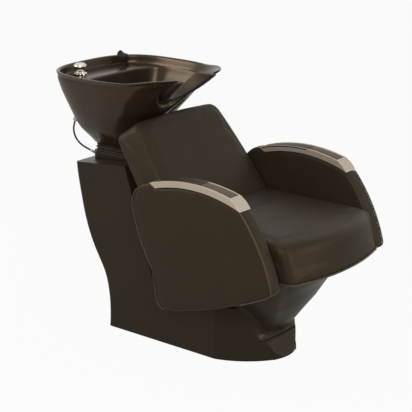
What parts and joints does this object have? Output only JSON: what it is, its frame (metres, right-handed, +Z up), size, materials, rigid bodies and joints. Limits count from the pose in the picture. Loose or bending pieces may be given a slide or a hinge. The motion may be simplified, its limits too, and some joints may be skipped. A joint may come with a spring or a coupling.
{
  "type": "salon backwash unit",
  "caption": "Salon hair-washing chair with a tilting black basin on a moulded pillar, a reclined padded seat and back, and padded arms with satin caps",
  "frame": {"origin": "on the floor face of the base plate, on the unit's plane of symmetry, about 17 mm in front of the middle of its length", "axes": "+X to the sitter's left, -Y the way the sitter faces, +Z up"},
  "size_m": [0.658, 1.1631, 0.937],
  "materials": {
    "moulded_shell": "black-brown moulded ABS with a soft gloss",
    "upholstery_vinyl": "dark olive-brown upholstery vinyl with a fine leather grain",
    "satin_trim": "satin silver anodised aluminium",
    "arm_pad_urethane": "satin dark grey self-skinned urethane",
    "glazed_ceramic": "black glazed sanitary ceramic",
    "neck_rubber": "soft black rubber",
    "collar_plastic": "black moulded plastic",
    "frame_steel": "black powder-coated steel",
    "bare_steel": "zinc plated steel",
    "friction_lining": "fibre friction lining",
    "chrome_fitting": "polished chrome plate",
    "handset_plastic": "black moulded ABS",
    "spray_hose_skin": "smooth black vinyl hose skin with a grey sheen",
    "birch_plywood": "birch plywood",
    "waste_plastic": "white polypropylene"
  },
  "bodies": {
    "root": {"base_shell": "moulded_shell", "belly_shell": "moulded_shell", "rear_access_cover": "moulded_shell", "seat_cushion": "upholstery_vinyl", "backrest_cushion": "upholstery_vinyl", "left_arm_panel": "upholstery_vinyl", "right_arm_panel": "upholstery_vinyl", "left_arm_trim": "satin_trim", "right_arm_trim": "satin_trim", "left_arm_pad": "arm_pad_urethane", "right_arm_pad": "arm_pad_urethane", "neck_gaiter": "neck_rubber", "neck_collar": "collar_plastic", "base_plate": "frame_steel", "frame_post": "frame_steel", "seat_column": "frame_steel", "seat_rails": "frame_steel", "arm_crossbars": "frame_steel", "backrest_bracket": "frame_steel", "pivot_bracket": "frame_steel", "cover_screws": "bare_steel", "backrest_bolts": "bare_steel", "arm_bolts": "bare_steel", "bracket_bolts": "bare_steel", "pivot_pin": "bare_steel", "friction_discs": "friction_lining", "stop_valves": "chrome_fitting", "hose_fitting": "chrome_fitting", "spray_hose": "spray_hose_skin", "seat_board": "birch_plywood", "backrest_board": "birch_plywood", "waste_trap": "waste_plastic", "waste_hose": "waste_plastic", "waste_pipe": "waste_plastic"},
    "basin": {"basin_bowl": "glazed_ceramic", "neck_rest": "neck_rubber", "bowl_carrier": "frame_steel", "carrier_bolts": "bare_steel", "waste_fitting": "chrome_fitting", "handset_holder": "chrome_fitting", "hose_gland": "chrome_fitting", "mixer_body": "chrome_fitting"},
    "mixer_turret": {"mixer_turret": "chrome_fitting"},
    "mixer_lever": {"mixer_lever": "chrome_fitting", "mixer_pin": "chrome_fitting"},
    "hair_strainer": {"hair_strainer": "chrome_fitting"},
    "spray_handset": {"spray_handset": "handset_plastic"}
  },
  "joints": [
    {"name": "basin_tilt", "type": "hinge", "parent": "root", "child": "basin", "pos_m": [0, 0.345, 0.612], "axis": [1, 0, 0], "range_deg": [-12, 2], "deforming": ["neck_gaiter", "waste_hose", "spray_hose"]},
    {"name": "mixer_turn", "type": "hinge", "parent": "basin", "child": "mixer_turret", "pos_m": [-0.107, 0.516, 0.885], "axis": [0, 0, 1], "range_deg": [-45, 45]},
    {"name": "mixer_lift", "type": "hinge", "parent": "mixer_turret", "child": "mixer_lever", "pos_m": [-0.107, 0.516, 0.9055], "axis": [1, 0, 0], "range_deg": [0, 18]},
    {"name": "strainer_lift", "type": "slide", "parent": "basin", "child": "hair_strainer", "axis": [0, 0, 1], "range_m": [0, 0.08]},
    {"name": "handset_lift", "type": "slide", "parent": "basin", "child": "spray_handset", "axis": [0, 0, 1], "range_m": [0, 0.12]}
  ]
}
